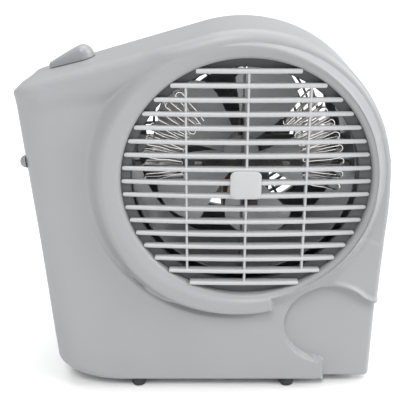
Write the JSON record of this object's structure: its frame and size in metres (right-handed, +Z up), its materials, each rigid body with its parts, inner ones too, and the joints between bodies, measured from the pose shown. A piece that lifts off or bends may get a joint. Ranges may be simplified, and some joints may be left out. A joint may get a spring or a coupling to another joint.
{
  "type": "portable fan heater",
  "caption": "Compact portable fan heater: round louvred outlet in a light grey casing, sloping shoulder with pointer knob, rubber feet.",
  "frame": {"origin": "centre of the bounding box on the surface that the feet stand on", "axes": "+Z up, the air outlet faces -Y, +X to the right seen from the front"},
  "size_m": [0.2574, 0.136, 0.2735],
  "materials": {
    "casing": "fine moulded texture",
    "grille": "smooth moulded",
    "inlet_grille": "fine moulded texture",
    "badge": "smooth, blank",
    "knob": "satin moulded",
    "stud": "satin moulded",
    "rubber": "matte",
    "sheet_steel": "zinc plated",
    "screw_steel": "zinc plated",
    "mica": "layered mica",
    "ribbon": "bright rolled",
    "brass": "plain",
    "cutout_case": "moulded phenolic",
    "lamination": "varnished laminations",
    "shaft_steel": "ground",
    "bobbin": "natural nylon",
    "copper": "enamelled copper",
    "impeller": "smooth moulded",
    "switch_case": "moulded"
  },
  "bodies": {
    "casing": {"front_housing": "casing", "rear_housing": "casing", "front_grille": "grille", "rear_inlet_grille": "inlet_grille", "grille_badge": "badge", "side_stud_left": "stud", "side_stud_right": "stud", "foot_front_left": "rubber", "foot_front_right": "rubber", "foot_rear_left": "rubber", "foot_rear_right": "rubber", "cord_inlet_bush": "rubber", "air_duct": "sheet_steel", "motor_bracket": "sheet_steel", "motor_front_bridge": "sheet_steel", "motor_rear_bridge": "sheet_steel", "housing_screws": "screw_steel", "duct_screws": "screw_steel", "motor_spacers": "screw_steel", "motor_screws": "screw_steel", "motor_nuts": "screw_steel", "cord_clamp_screws": "screw_steel", "terminal_screws": "screw_steel", "plunger_spring": "screw_steel", "thermostat_nut": "screw_steel", "mica_board_upright": "mica", "mica_board_level": "mica", "heating_ribbon_front": "ribbon", "heating_ribbon_rear": "ribbon", "heater_terminals": "brass", "front_bearing": "brass", "rear_bearing": "brass", "thermal_cutout": "cutout_case", "thermal_fuse": "cutout_case", "thermostat_body": "cutout_case", "motor_stator": "lamination", "coil_bobbin": "bobbin", "terminal_block": "bobbin", "cord_clamp": "bobbin", "motor_coil": "copper", "shading_rings": "copper", "tip_switch_body": "switch_case"},
    "fan_rotor": {"impeller": "impeller", "impeller_clip": "screw_steel", "motor_shaft": "shaft_steel", "motor_rotor": "lamination"},
    "knob": {"control_knob": "knob", "control_spindle": "shaft_steel"},
    "plunger": {"tip_plunger": "switch_case"}
  },
  "joints": [
    {"name": "fan_spin", "type": "hinge", "parent": "casing", "child": "fan_rotor", "pos_m": [0.02568, -0.013, 0.175], "axis": [0, 1, 0], "continuous": true},
    {"name": "knob_turn", "type": "hinge", "parent": "casing", "child": "knob", "pos_m": [-0.08432, -0.018, 0.24593], "axis": [-0.2756, 0, 0.9613], "range_deg": [-135, 135]},
    {"name": "plunger_drop", "type": "slide", "parent": "casing", "child": "plunger", "axis": [0, 0, -1], "range_m": [0, 0.004], "stiffness_N_per_m": 60, "springref_m": 0.01, "deforming": ["plunger_spring"]}
  ]
}
